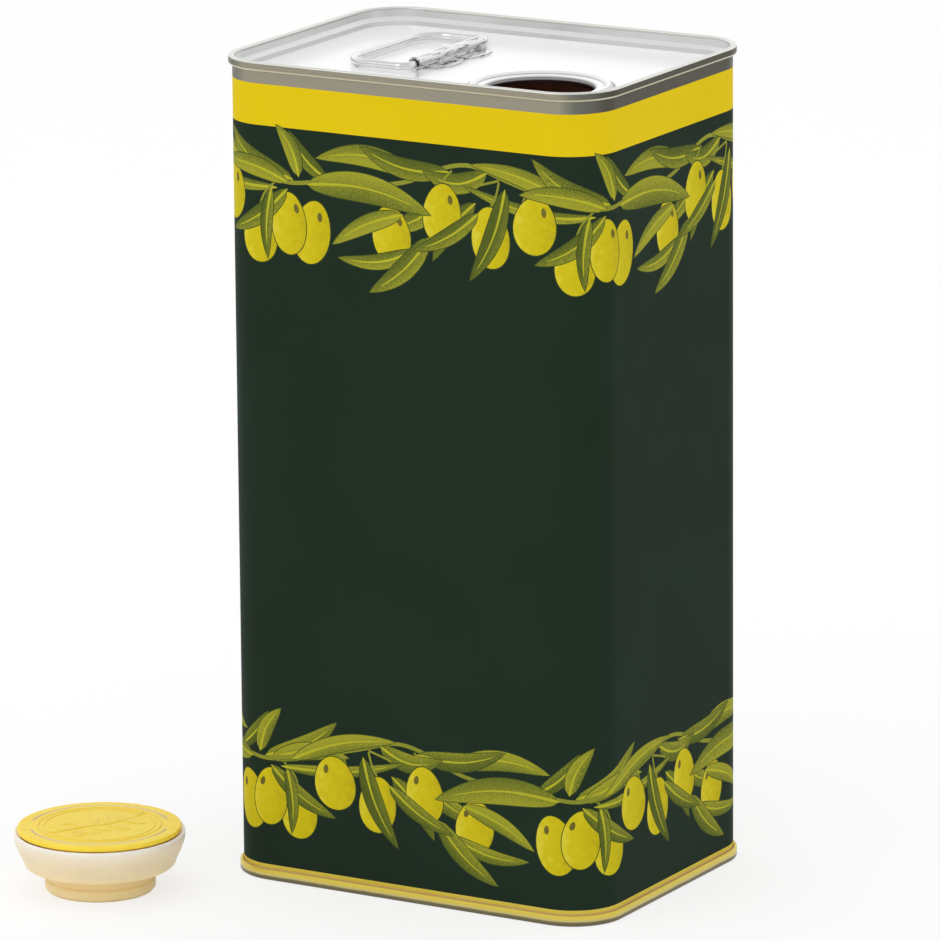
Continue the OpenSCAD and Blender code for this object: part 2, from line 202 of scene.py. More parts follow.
def oliveInk(tree):
    shade = addNode(tree, "ShaderNodeAttribute", attribute_name="shade").outputs["Fac"]
    cloud = calc(tree, "MULTIPLY", calc(tree, "SUBTRACT", noiseNode(tree, 420.0, 2.0), 0.5), 0.9)
    level = calc(tree, "ADD", shade, cloud)
    return ramp(tree, level, [(0.05, srgb(216, 202, 60)), (0.3, srgb(207, 191, 32)),
                              (0.7, srgb(198, 182, 26)), (0.95, srgb(186, 170, 28))])


# Seam and bare strip: streaked metal, with painted shade that makes walls facing the narrow ends darker
# than the front and back
def streaksAndPaintedSideShade(tree):
    sideways = calc(tree, "ABSOLUTE", normalOf(tree)["X"])
    streaks = noiseNode(tree, 500.0, 3.0, 0.6, (1, 1, 8))
    tone = ramp(tree, streaks, [(0.3, grey(236)), (0.7, grey(255))])
    # painted shade: the tone darkens as the wall turns towards the narrow ends
    facing = ramp(tree, sideways, [(0.3, srgb(158, 152, 134)), (0.55, srgb(116, 117, 106)),
                                   (0.8, srgb(104, 104, 94)), (0.98, srgb(80, 77, 64))])
    return mixColour(tree, 1.0, facing, tone, "MULTIPLY")


def bareMaterial():
    material, tree, shader = newMaterial("bare_edge", rough=0.4, metal=0.75)
    tree.links.new(streaksAndPaintedSideShade(tree), shader.inputs["Base Color"])
    spread(tree, noiseNode(tree, 300.0, 2.0), shader.inputs["Roughness"], 0.34, 0.48)
    return material


# Bright steel, with level faces painted paler and upright ones darker as painted light and shade, and
# streaks as (place, value) pairs
def steelMaterial(name, level, upright, rough, grain, stretch, streaks):
    material, tree, shader = newMaterial(name, rough=rough, metal=1.0)
    brushed = noiseNode(tree, grain, 3.0, 0.6, stretch)
    # painted light and shade: level faces take the level tone, upright ones the darker upright tone
    facing = ramp(tree, calc(tree, "ABSOLUTE", normalOf(tree)["Z"]), [(0.25, upright), (0.75, level)])
    tone = ramp(tree, brushed, [(place, (value, value, value, 1)) for place, value in streaks])
    tree.links.new(mixColour(tree, 1.0, facing, tone, "MULTIPLY"), shader.inputs["Base Color"])
    spread(tree, brushed, shader.inputs["Roughness"], rough * 0.7, rough * 1.3)
    addBump(tree, shader, brushed, 0.03, 0.0003)
    return material


# Upright faces between two radii round the spout's axis, where a painted glow stands in for light coming
# through the thin plastic
def paintedGlowMask(tree, values):
    place = placeOf(tree)
    normal = normalOf(tree)
    squares, facing = [], []
    for axis, centre in (("X", spout["x"]), ("Y", spout["y"])):
        gap = calc(tree, "SUBTRACT", calc(tree, "MULTIPLY", place[axis], 1 / mm), centre)
        squares.append(calc(tree, "MULTIPLY", gap, gap))
        facing.append(calc(tree, "MULTIPLY", gap, normal[axis]))
    radius = calc(tree, "SQRT", calc(tree, "ADD", *squares))
    # the ramp covers span millimetres and starts margin short of the inner radius
    margin, span, soft = 1, 5, 0.02
    reach = calc(tree, "MULTIPLY", calc(tree, "SUBTRACT", radius, values["inner"] - margin), 1 / span)
    start = margin / span
    end = (values["outer"] - values["inner"] + margin) / span
    within = ramp(tree, reach, [(start - soft, black), (start, white), (end, white), (end + soft, black)])
    upright = ramp(tree, calc(tree, "ABSOLUTE", normal["Z"]), [(0.5, white), (0.8, black)])
    mask = calc(tree, "MULTIPLY", within, upright)
    if values["inward"]:
        mask = calc(tree, "MULTIPLY", mask, calc(tree, "LESS_THAN", calc(tree, "ADD", *facing), 0.0))
    return mask


tierSpan = 20  # millimetres of height that a plastic's tiers may cover


# Plastic, lacquer or compound with a fine skin; glow is the share of light that spreads inside it
# tiers are (height, colour) pairs, lit says where a painted glow of paler colour and weak emission stands
# in for light coming through, grain is the skin's scale and depth
def plasticMaterial(name, colour, other, rough=0.4, glow=0.0, tiers=None, paintedGlow=None, grain=(1500.0, 0.0002)):
    material, tree, shader = newMaterial(name, rough=rough, specular=0.35)
    base = ramp(tree, noiseNode(tree, 120.0, 2.0), [(0.3, colour), (0.7, other)])
    if paintedGlow:
        # painted glow: paler base colour and a weak emission where light would come through
        paintedGlowShare = paintedGlowMask(tree, paintedGlow)
        base = mixColour(tree, paintedGlowShare, base, paintedGlow["colour"])
        shader.inputs["Emission Color"].default_value = paintedGlow["colour"]
        spread(tree, paintedGlowShare, shader.inputs["Emission Strength"], 0.0, paintedGlow["light"])
    if tiers:
        height = calc(tree, "MULTIPLY", placeOf(tree)["Z"], 1 / (tierSpan * mm))
        tones = ramp(tree, height, [(z / tierSpan, tier) for z, tier in tiers])
        base = mixColour(tree, 1.0, tones, base, "MULTIPLY")
    tree.links.new(base, shader.inputs["Base Color"])
    shader.inputs["Subsurface Weight"].default_value = glow
    shader.inputs["Subsurface Radius"].default_value = (0.004, 0.003, 0.002)
    shader.inputs["Subsurface Scale"].default_value = 1.0
    spread(tree, noiseNode(tree, 300.0, 2.0), shader.inputs["Roughness"], rough - 0.06, rough + 0.06)
    addBump(tree, shader, noiseNode(tree, grain[0], 2.0), 0.05, grain[1])
    return material


def dress(material, *names):
    for name in names:
        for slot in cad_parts[name].material_slots:
            slot.link = "OBJECT"
            slot.material = material


def makeMesh(name, points, faces, materials, smooth=True):
    mesh = bpy.data.meshes.new(name)
    mesh.from_pydata([Vector(p) * mm for p in points], [], faces)
    mesh.update()
    piece = bpy.data.objects.new(name, mesh)
    scene.collection.objects.link(piece)
    for material in materials:
        mesh.materials.append(material)
    if smooth:
        mesh.shade_smooth()
    else:
        mesh.shade_flat()
    return piece


# Faces of a tube whose rings of points follow each other, closed round and optionally along
def tubeFaces(first, rings, around, loop=False):
    faces = []
    for i in range(rings if loop else rings - 1):
        for j in range(around):
            k = (j + 1) % around
            a, b = first + around * i, first + around * ((i + 1) % rings)
            faces.append((a + j, a + k, b + k, b + j))
    return faces


def turnOutward(piece):
    bm = bmesh.new()
    bm.from_mesh(piece.data)
    bmesh.ops.recalc_face_normals(bm, faces=bm.faces)
    bm.to_mesh(piece.data)
    bm.free()


camera = {"place": (1.20410, -2.06932, 0.71163), "turn": (76.2029, 0.4559, 30.1998),
          "lens": 310.602, "sensor": 36, "clipEnd": 50}
cameraData = bpy.data.cameras.new("camera")
cameraData.lens = camera["lens"]
cameraData.sensor_width = camera["sensor"]
cameraData.clip_end = camera["clipEnd"]
cameraObject = bpy.data.objects.new("camera", cameraData)
cameraObject.location = camera["place"]
cameraObject.rotation_euler = [math.radians(angle) for angle in camera["turn"]]
scene.collection.objects.link(cameraObject)
scene.camera = cameraObject
scene.view_settings.view_transform = "Standard"

# sky lights the scene, floorGlow is how far the floor shows white to the camera and to bright metal,
# and floorReach is half the floor's width in millimetres
studio = {"sky": 0.84, "floorGlow": 0.72, "floorReach": 9000}
world = bpy.data.worlds.new("studio")
scene.world = world
world.use_nodes = True
worldTree = world.node_tree
worldTree.nodes.clear()
rays = addNode(worldTree, "ShaderNodeLightPath")
shown = addNode(worldTree, "ShaderNodeBackground", Color=white, Strength=1.0)
tent = addNode(worldTree, "ShaderNodeBackground", Color=white, Strength=studio["sky"])
either = addNode(worldTree, "ShaderNodeMixShader")
output = addNode(worldTree, "ShaderNodeOutputWorld")
seen = calc(worldTree, "MAXIMUM", rays.outputs["Is Camera Ray"], rays.outputs["Is Glossy Ray"])
worldTree.links.new(seen, either.inputs["Fac"])
# the white tent is greyer overhead, which gives level bright metal its tone
skyHeight = splitVector(worldTree, "ShaderNodeTexCoord", "Generated")["Z"]
zenith = ramp(worldTree, skyHeight, [(0.34, white), (0.62, grey(226)), (0.95, grey(206))])
worldTree.links.new(zenith, shown.inputs["Color"])
worldTree.links.new(tent.outputs[0], either.inputs[1])
worldTree.links.new(shown.outputs[0], either.inputs[2])
worldTree.links.new(either.outputs[0], output.inputs["Surface"])


def floorMaterial():
    material, tree, shader = newMaterial("studio_floor", rough=0.9, specular=0.1)
    tone = ramp(tree, noiseNode(tree, 1.5), [(0.2, (0.95, 0.95, 0.95, 1)), (0.8, (0.97, 0.97, 0.97, 1))])
    tree.links.new(tone, shader.inputs["Base Color"])
    paths = addNode(tree, "ShaderNodeLightPath")
    glow = addNode(tree, "ShaderNodeEmission", Color=white, Strength=1.0)
    both = addNode(tree, "ShaderNodeMixShader")
    visible = calc(tree, "MAXIMUM", paths.outputs["Is Camera Ray"], paths.outputs["Is Glossy Ray"])
    tree.links.new(calc(tree, "MULTIPLY", visible, studio["floorGlow"]), both.inputs["Fac"])
    tree.links.new(shader.outputs["BSDF"], both.inputs[1])
    tree.links.new(glow.outputs["Emission"], both.inputs[2])
    tree.links.new(both.outputs["Shader"], tree.nodes["Material Output"].inputs["Surface"])
    return material


floorEnd = studio["floorReach"]
floorCorners = [(-floorEnd, -floorEnd, 0), (floorEnd, -floorEnd, 0), (floorEnd, floorEnd, 0),
                (-floorEnd, floorEnd, 0)]
floor = makeMesh("studio_floor", floorCorners, [(0, 1, 2, 3)], [floorMaterial()], smooth=False)

# place and aim in metres; mirrored says whether bright metal shows the lamp itself
lamps = {
    "overhead": {"place": (0, 0.2, 3.0), "aim": (0, 0.2, 0), "size": 3.0, "power": 22.0, "mirrored": False},
    "key": {"place": (-0.8, -2.4, 2.2), "aim": (0, 0, 0.1), "size": 1.6, "power": 9.0, "mirrored": True},
}


def addLamp(name, values):
    data = bpy.data.lights.new(name, "AREA")
    data.energy = values["power"]
    data.size = values["size"]
    lamp = bpy.data.objects.new(name, data)
    lamp.location = values["place"]
    lamp.visible_glossy = values["mirrored"]
    aim = Vector(values["aim"]) - Vector(values["place"])
    lamp.rotation_euler = aim.to_track_quat("-Z", "Y").to_euler()
    scene.collection.objects.link(lamp)


for name, values in lamps.items():
    addLamp(name, values)
print("camera, floor and lamps done")

# Runs round the wall from the middle of the left side, past the front, right and back
bend = tin["cornerRadius"] * math.pi / 2
wallRuns = [("flat", halfY, (-1, 0)), ("bend", bend, (-1, -1)), ("flat", 2 * halfX, (0, -1)),
            ("bend", bend, (1, -1)), ("flat", 2 * halfY, (1, 0)), ("bend", bend, (1, 1)),
            ("flat", 2 * halfX, (0, 1)), ("bend", bend, (-1, 1)), ("flat", halfY, (-1, 0))]
perimeter = sum(run[1] for run in wallRuns)


# Point on the wall and its outward direction, at distance s round it
def wallPlace(s):
    left = min(max(s, 0.0), perimeter)
    for index, (kind, length, way) in enumerate(wallRuns):
        if left <= length or index == len(wallRuns) - 1:
            break
        left -= length
    if kind == "bend":
        angle = math.atan2(way[1], way[0]) - math.pi / 4 + left / tin["cornerRadius"]
        normal = Vector((math.cos(angle), math.sin(angle), 0))
        return Vector((way[0] * halfX, way[1] * halfY, 0)) + normal * tin["cornerRadius"], normal
    normal = Vector((way[0], way[1], 0))
    along = Vector((-way[1], way[0], 0))
    middle = Vector((way[0] * (halfX + tin["cornerRadius"]), way[1] * (halfY + tin["cornerRadius"]), 0))
    offset = left - length / 2
    if index == 0:
        offset = left
    elif index == len(wallRuns) - 1:
        offset = left - length
    return middle + along * offset, normal


# One repeat of the olive branch, a quarter of the way round; u runs along the wall, v up from the twig
branch = {
    "repeat": perimeter / 4,
    "twig": [(-14, 1.5), (-2, 0), (8, 1), (22, 1.5), (38, 4), (51, 9.5), (61, 11), (73, 7.5),
             (84, 4.5), (95, 2), (107, 0)],
    "twigWide": 1.3,
    "stalkWide": 0.7,
    # where a leaf leaves the twig, which way it points, its length, width and curve, how dark it is
    "backLeaves": [
        (41, 6.5, 177, 34, 9.0, -4, 0.35), (53, 8.5, 171, 31, 8.5, 3.5, 0.7),
        (66, 9.5, 184, 22, 8.5, 4.5, 0.6), (11, 2, 134, 19, 6.5, 2.0, 0.8), (1, 2, 117, 17, 7.0, -2.0, 0.4),
        (50, -1, 207, 22, 8, 2, 0.55), (97, 1, 164, 38, 7.5, -3, 0.3), (101, -2, 171, 44, 5.0, 3, 0.5),
        (62, 0, 232, 24, 7.5, -2, 0.75)],
    # middle, width, height and tilt of each olive
    "olives": [(-13, -17, 12.2, 16.5, 6), (5.5, -14.5, 12.6, 19.5, -10), (-2.5, -12.5, 11.8, 19, 3),
               (33, -12.5, 13, 17.5, 9), (50.5, -4.5, 12.8, 18.5, -5), (67, -10, 12.8, 18.5, 4),
               (82, -5, 14.2, 17.5, -8)],
    "frontLeaves": [
        (-1, 1, 151, 29, 8.5, 3, 0.55), (-3, 0, 172, 28, 8.0, -3, 0.35), (-3, -2, 213, 27, 7.5, 2.5, 0.65),
        (-8.5, -2, 266, 22, 5.5, -1.5, 0.7), (4, 0, 353, 43, 12, 4, 0.45), (37, -6, 205, 27, 7.5, -2, 0.3),
        (41, -16.5, 190, 27, 6.5, 3, 0.5), (46, -12, 222, 28, 9.0, 2.5, 0.6), (63, -3, 211, 26, 7, 2, 0.65),
        (72, 5, 247, 31, 8.5, 2.5, 0.9)],
    "stalks": [[(-13, -9), (-11, -4), (-7, 0)], [(50, 4.5), (52, 7), (54, 9)], [(67, -1), (69, 3), (70, 7)],
               [(62, 5), (65, 6), (70, 7.5)], [(80, 3), (81, 5)], [(77, -1), (79, 4)]],
}
# z is the twig's height on the wall, start where one repeat begins, tall stretches the drawing in height
bands = [{"z": 218.3, "start": 71.5, "mirror": False, "tall": 1.0},
         {"z": 38.5, "start": 57.0, "mirror": True, "tall": 0.95}]
# heights of the stripes' edges, and the width of the bare lap at the weld
stripes = {"bottom": 3.5, "gold": 4.8, "green": 234.8, "yellow": 247.4, "top": 251.4, "lap": 2.4}

# step, shadow and ribHalf are millimetres, bow and ribEnd are shares
leafForm = {"step": 1.9, "shadow": 0.25, "ribHalf": 0.48, "bow": 0.8, "ribEnd": 0.9}
# narrowing, spotAcross and spotUp are shares, spotTurn is in degrees, the other sizes are millimetres
oliveForm = {"sides": 30, "narrowing": 0.08, "shadow": 0.3,
             "spotAcross": 0.22, "spotUp": 0.25, "spotWide": 1.7, "spotHigh": 2.9, "spotTurn": 14}


# Point t along a midrib that bows sideways
def ribPoint(base, angle, length, curve, t):
    direction = Vector((math.cos(angle), math.sin(angle)))
    across = Vector((-direction.y, direction.x))
    bow = curve * math.sin(math.pi * t) * leafForm["bow"]
    return Vector(base) + direction * (length * t) + across * bow


def leafWidth(t):
    return (t ** 0.62) * ((1 - t) ** 0.85) * 1.98


# Shadow, body, midrib and spine of one leaf
def leafShapes(u, v, degrees, length, width, curve):
    steps = max(10, int(length / leafForm["step"]))
    spine = [ribPoint((u, v), math.radians(degrees), length, curve, i / steps) for i in range(steps + 1)]

    def beside(i, amount):
        step = (spine[min(i + 1, steps)] - spine[max(i - 1, 0)]).normalized()
        return spine[i] + Vector((-step.y, step.x)) * amount

    def outline(grow):
        one = [beside(i, -(leafWidth(i / steps) * width / 2 + grow)) for i in range(1, steps)]
        two = [beside(i, leafWidth(i / steps) * width / 2 + grow) for i in range(steps - 1, 0, -1)]
        tip = spine[-1] + (spine[-1] - spine[-2]).normalized() * grow * 1.5
        return [spine[0]] + one + [tip] + two

    last = int(steps * leafForm["ribEnd"])
    half = [leafForm["ribHalf"] * (1 - 0.85 * i / steps) * min(1.0, 0.3 + 0.7 * i) for i in range(last)]
    right = [beside(i, -half[i]) for i in range(last)]
    left = [beside(i, half[i]) for i in reversed(range(last))]
    return outline(leafForm["shadow"]), outline(0.0), right + [spine[last]] + left, spine


# A plump olive, a little narrower at the stalk end
def oliveShape(u, v, width, height, degrees, grow=0.0):
    turn = Matrix.Rotation(math.radians(degrees), 2)
    sides = oliveForm["sides"]
    points = []
    for i in range(sides):
        angle = 2 * math.pi * i / sides
        x = (width / 2 + grow) * math.cos(angle) * (1 - oliveForm["narrowing"] * math.sin(angle))
        points.append(Vector((u, v)) + turn @ Vector((x, (height / 2 + grow) * math.sin(angle))))
    return points


# A stroke along a smoothed line
def strokeShape(line, wide, taper=1.0):
    smooth = []
    parts = 5
    for i in range(len(line) - 1):
        before = Vector(line[max(i - 1, 0)])
        a, b = Vector(line[i]), Vector(line[i + 1])
        after = Vector(line[min(i + 2, len(line) - 1)])
        for j in range(parts):
            t = j / parts
            smooth.append(0.5 * (2 * a + (b - before) * t + (2 * before - 5 * a + 4 * b - after) * t * t
                                 + (3 * a - before - 3 * b + after) * t ** 3))
    smooth.append(Vector(line[-1]))
    left, right = [], []
    count = len(smooth) - 1
    for i, point in enumerate(smooth):
        step = (smooth[min(i + 1, count)] - smooth[max(i - 1, 0)]).normalized()
        across = Vector((-step.y, step.x)) * (wide / 2 * (1 - (1 - taper) * i / count))
        left.append(point - across)
        right.append(point + across)
    return left + right[::-1]


def signedArea(points):
    return sum(a.x * b.y - b.x * a.y for a, b in zip(points, points[1:] + points[:1])) / 2


# Every printed shape on the unrolled wall, lowest layer first
def wallDrawing():
    shapes = []

    def add(kind, points, spine=None, tone=0.5, half=1.0):
        if signedArea(points) < 0:
            points = points[::-1]
        shapes.append({"kind": kind, "points": points, "spine": spine, "tone": tone, "half": half})

    def box(kind, s0, s1, z0, z1):
        add(kind, [Vector(p) for p in ((s0, z0), (s1, z0), (s1, z1), (s0, z1))])

    box("green", 0, perimeter, stripes["bottom"], stripes["top"])
    box("gold", 0, perimeter, stripes["bottom"], stripes["gold"])
    box("yellow", 0, perimeter, stripes["green"], stripes["yellow"])
    box("bare", 0, perimeter, stripes["yellow"], stripes["top"])
    for band in bands:
        flip = -1 if band["mirror"] else 1
        for repeat in range(-1, 6):
            start = band["start"] + repeat * branch["repeat"]

            def put(points):
                return [Vector((start + flip * p[0], band["z"] + p[1] * band["tall"])) for p in points]

            def putLeaf(row):
                shadow, body, rib, spine = leafShapes(*row[:6])
                add("shadow", put(shadow))
                add("leaf", put(body), put(spine), row[6], row[4] / 2)
                add("rib", put(rib))

            add("twig", put(strokeShape(branch["twig"], branch["twigWide"])))
            for row in branch["backLeaves"]:
                putLeaf(row)
            for line in branch["stalks"]:
                add("twig", put(strokeShape(line, branch["stalkWide"])))
            for u, v, width, height, degrees in branch["olives"]:
                add("shadow", put(oliveShape(u, v, width, height, degrees, oliveForm["shadow"])))
                spine = put([(u, v - height / 2), (u, v + height / 2)])
                add("olive", put(oliveShape(u, v, width, height, degrees)), spine, 0.5, width / 2)
                spotU = u + oliveForm["spotAcross"] * width
                spotV = v + oliveForm["spotUp"] * height
                add("spot", put(oliveShape(spotU, spotV, oliveForm["spotWide"], oliveForm["spotHigh"],
                                           degrees + oliveForm["spotTurn"])))
            for row in branch["frontLeaves"]:
                putLeaf(row)
    box("bare", 0, stripes["lap"], stripes["bottom"], stripes["top"])
    box("bare", perimeter - stripes["lap"], perimeter, stripes["bottom"], stripes["top"])
    return shapes


# How far a point lies to the left of a shape's spine, from -1 to 1 at its edges
def placeAcross(shape, point):
    best = None
    for a, b in zip(shape["spine"], shape["spine"][1:]):
        step = b - a
        t = min(max((point - a).dot(step) / step.length_squared, 0), 1)
        gap = point - (a + step * t)
        if best is None or gap.length < best[0]:
            best = (gap.length, step.x * gap.y - step.y * gap.x)
    return math.copysign(min(best[0] / shape["half"], 1.0), best[1])


inks = {
    "green": inkMaterial("print_green", plainInk(srgb(32, 45, 34), srgb(33, 48, 37))),
    "gold": inkMaterial("print_gold", plainInk(srgb(214, 190, 70), srgb(220, 198, 84))),
    "yellow": inkMaterial("print_yellow", plainInk(srgb(224, 195, 16), srgb(228, 199, 24))),
    "bare": bareMaterial(),
    "leaf": inkMaterial("print_leaf", leafInk),
    "rib": inkMaterial("print_rib", plainInk(srgb(186, 182, 46), srgb(174, 172, 46))),
    "shadow": inkMaterial("print_shadow", plainInk(srgb(58, 70, 34), srgb(66, 78, 36))),
    "olive": inkMaterial("print_olive", oliveInk),
    "spot": inkMaterial("print_spot", plainInk(srgb(122, 112, 46), srgb(104, 96, 44))),
    "twig": inkMaterial("print_twig", plainInk(srgb(146, 148, 52), srgb(132, 136, 48))),
}

# proud is in millimetres, sideShade is how much darker or paler a shape is at its sides
skin = {"bendSteps": 16, "proud": 0.05, "sideShade": 0.4}


# The whole print is one skin on the wall, parted along the outlines of its shapes
def buildPrint():
    shapes = wallDrawing()
    points, faces, edges = [], [], []
    for shape in shapes:
        first = len(points)
        points += shape["points"]
        faces.append(list(range(first, len(points))))
    # upright lines split the bends so that the skin follows them
    s = 0.0
    for kind, length, _ in wallRuns:
        count = skin["bendSteps"] if kind == "bend" else 1
        for i in range(count):
            place = s + length * i / count
            if 0 < place < perimeter:
                edges.append((len(points), len(points) + 1))
                points += [Vector((place, stripes["bottom"])), Vector((place, stripes["top"]))]
        s += length
    insideOnly, tolerance = 1, 1e-4
    verts, _, tris, _, _, owners = delaunay_2d_cdt(points, edges, faces, insideOnly, tolerance)
    kinds = list(inks)
    # shape 0 is the green ground, and the topmost shape that owns a triangle gives its ink
    keep = [(tri, max(owner)) for tri, owner in zip(tris, owners) if 0 in owner]
    used = sorted({i for tri, _ in keep for i in tri})
    renumber = {old: new for new, old in enumerate(used)}
    out, normals = [], []
    for i in used:
        place, normal = wallPlace(verts[i].x)
        out.append(place + normal * skin["proud"] + Vector((0, 0, verts[i].y)))
        normals.append(normal)
    triangles = [[renumber[i] for i in tri] for tri, _ in keep]
    piece = makeMesh("wall_print", out, triangles, list(inks.values()))
    mesh = piece.data
    mesh.polygons.foreach_set("material_index", [kinds.index(shapes[owner]["kind"]) for _, owner in keep])
    shade, edge = [], []
    for tri, owner in keep:
        shape = shapes[owner]
        for i in tri:
            across = placeAcross(shape, verts[i]) if shape["spine"] else 0.0
            shade.append(min(max(shape["tone"] - skin["sideShade"] * across, 0.0), 1.0))
            edge.append(abs(across))
    mesh.attributes.new("shade", "FLOAT", "CORNER").data.foreach_set("value", shade)
    mesh.attributes.new("edge", "FLOAT", "CORNER").data.foreach_set("value", edge)
    mesh.normals_split_custom_set_from_vertices(normals)
    mesh.update()
    print("wall print:", len(shapes), "shapes,", len(keep), "triangles")
    return piece


wallPrint = buildPrint()
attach(wallPrint, "tin")


# Millimetres outside the tin's wall, away from the mouth's axis, and above the floor
def tinDistances(tree):
    place = placeOf(tree)
    reach, fromMouth = [], []
    for axis, half, centre in (("X", halfX, mouth["x"]), ("Y", halfY, mouth["y"])):
        size = calc(tree, "MULTIPLY", place[axis], 1 / mm)
        side = calc(tree, "MAXIMUM", calc(tree, "SUBTRACT", calc(tree, "ABSOLUTE", size), half), 0.0)
        reach.append(calc(tree, "MULTIPLY", side, side))
        gap = calc(tree, "SUBTRACT", size, centre)
        fromMouth.append(calc(tree, "MULTIPLY", gap, gap))
    outside = calc(tree, "SUBTRACT", calc(tree, "SQRT", calc(tree, "ADD", *reach)), tin["cornerRadius"])
    height = calc(tree, "MULTIPLY", place["Z"], 1 / mm)
    return outside, calc(tree, "SQRT", calc(tree, "ADD", *fromMouth)), height


# where the ramps round the mouth and up its neck begin, and how far they reach
topRamps = {"mouthFrom": 15.0, "mouthSpan": 10.0, "neckMargin": 0.7, "neckFrom": 246.0, "neckSpan": 4.0}


# A height or distance as a share of a stretch that begins at start
def share(tree, value, start, span):
    return calc(tree, "MULTIPLY", calc(tree, "SUBTRACT", value, start), 1 / span)


def ringPlace(radius):
    return (radius - topRamps["mouthFrom"]) / topRamps["mouthSpan"]


# Stamped top: dull rolled seam outside, with a painted highlight on its crown and along its foot; polished
# panel inside, its tones painted by which way each face turns
def topEndMaterial():
    material, tree, shader = newMaterial("bright_tin", rough=0.2, metal=1.0)
    lift = calc(tree, "ABSOLUTE", normalOf(tree)["Z"])
    outside, fromMouth, height = tinDistances(tree)
    foot = share(tree, height, tin["height"] - tin["topSeam"], tin["topSeam"])
    # painted highlight: a pale line along the foot of the rolled seam
    paintedFootHighlight = ramp(tree, foot, [(0.02, srgb(206, 198, 172)), (0.17, srgb(200, 192, 166)), (0.27, black)])
    # painted highlight: the seam's level crown is painted near white
    paintedCrownHighlight = ramp(tree, lift, [(0.2, black), (0.5, srgb(240, 240, 234))])
    rolled = mixColour(tree, 1.0, streaksAndPaintedSideShade(tree), paintedFootHighlight, "LIGHTEN")
    outer = mixColour(tree, 1.0, rolled, paintedCrownHighlight, "LIGHTEN")
    # painted reflection and shade: the panel's tones follow which way each face turns, darker on upright
    # and sloping faces
    inner = ramp(tree, lift, [(0.2, grey(212)), (0.55, grey(172)), (0.67, grey(194)),
                              (0.72, grey(246)), (0.9, grey(255))])
    # thin dark lines painted as shade where the bead round the mouth rises from the panel and from the
    # ledge
    ring = share(tree, fromMouth, topRamps["mouthFrom"], topRamps["mouthSpan"])
    ledge = ringPlace(mouth["ledge"])
    bead = ringPlace(mouth["bead"])
    rings = ramp(tree, ring, [(ledge - 0.03, white), (ledge, grey(178)), (ledge + 0.03, white),
                              (bead - 0.02, white), (bead + 0.01, grey(140)), (bead + 0.05, grey(150)),
                              (bead + 0.09, white)])
    inner = mixColour(tree, 1.0, inner, rings, "MULTIPLY")
    zone = ramp(tree, calc(tree, "ADD", outside, 1.0), [(0.28, black), (0.36, white)])
    brushed = noiseNode(tree, 1200.0, 3.0, 0.6)
    tone = ramp(tree, brushed, [(0.25, (0.97, 0.97, 0.97, 1)), (0.75, white)])
    # the neck turned down into the mouth has a painted dark reflection of the inside at its lower end
    neckEdge = ringPlace(mouth["neck"] + topRamps["neckMargin"])
    neck = ramp(tree, ring, [(neckEdge, black), (neckEdge + 0.03, white)])
    depth = share(tree, height, topRamps["neckFrom"], topRamps["neckSpan"])
    mirrored = ramp(tree, depth, [(0.33, srgb(52, 34, 30)), (0.41, grey(206))])
    inner = mixColour(tree, 1.0, inner, mixColour(tree, neck, mirrored, white), "MULTIPLY")
    both = mixColour(tree, zone, inner, outer)
    tree.links.new(mixColour(tree, 1.0, both, tone, "MULTIPLY"), shader.inputs["Base Color"])
    inside = ramp(tree, zone, [(0.0, (0.3, 0.3, 0.3, 1)), (1.0, (0.9, 0.9, 0.9, 1))])
    spread(tree, mixColour(tree, 1.0, neck, inside, "MULTIPLY"), shader.inputs["Metallic"], 0.15, 1.0)
    spread(tree, zone, shader.inputs["Roughness"], 0.2, 0.36)
    addBump(tree, shader, noiseNode(tree, 60.0, 2.0), 0.05, 0.0006)
    return material


# The bottom end is lacquered gold on its outside, with a painted highlight along the shoulder of its seam
# and bare metal below it, painted darker as shade
def bottomEndMaterial():
    material, tree, shader = newMaterial("golden_end", rough=0.3, metal=0.6)
    wobble = calc(tree, "MULTIPLY", calc(tree, "SUBTRACT", noiseNode(tree, 160.0), 0.5), 0.12)
    height = calc(tree, "MULTIPLY", placeOf(tree)["Z"], 1 / (tin["bottomSeam"] * mm))
    level = calc(tree, "ADD", height, wobble)
    # painted highlight at the seam's shoulder; below it bare metal, painted darker as shade under the
    # rounding
    colours = [(0.0, srgb(96, 90, 70)), (0.36, srgb(115, 107, 75)), (0.5, srgb(205, 192, 128)),
               (0.64, srgb(218, 196, 82)), (1.0, srgb(220, 198, 80))]
    tree.links.new(ramp(tree, level, colours), shader.inputs["Base Color"])
    spread(tree, noiseNode(tree, 400.0), shader.inputs["Roughness"], 0.25, 0.4)
    return material


topTin = topEndMaterial()
# the level and upright tones of these two steels are painted light and shade
clipSteel = steelMaterial("clip_steel", grey(255), grey(196), 0.2, 1500.0, (1, 0.12, 1),
                          ((0.37, 0.2), (0.43, 0.8), (0.5, 1.0)))
wireSteel = steelMaterial("wire_steel", grey(255), grey(222), 0.14, 900.0, (1, 1, 1),
                          ((0.25, 0.9), (0.75, 1.0)))
insideLacquer = plasticMaterial("inside_lacquer", srgb(238, 196, 178), srgb(228, 182, 162), rough=0.5)
compound = plasticMaterial("seam_compound", srgb(140, 140, 132), srgb(150, 150, 142), rough=0.7)
cream = plasticMaterial("cream_plastic", srgb(246, 221, 180), srgb(240, 213, 170), rough=0.42, glow=0.3)
cupTiers = [(0, srgb(255, 228, 172)), (7.5, srgb(255, 226, 171)), (8.6, srgb(254, 225, 180)),
            (13, srgb(252, 226, 188)), (16.6, srgb(250, 233, 208)), (18.2, srgb(251, 244, 234))]
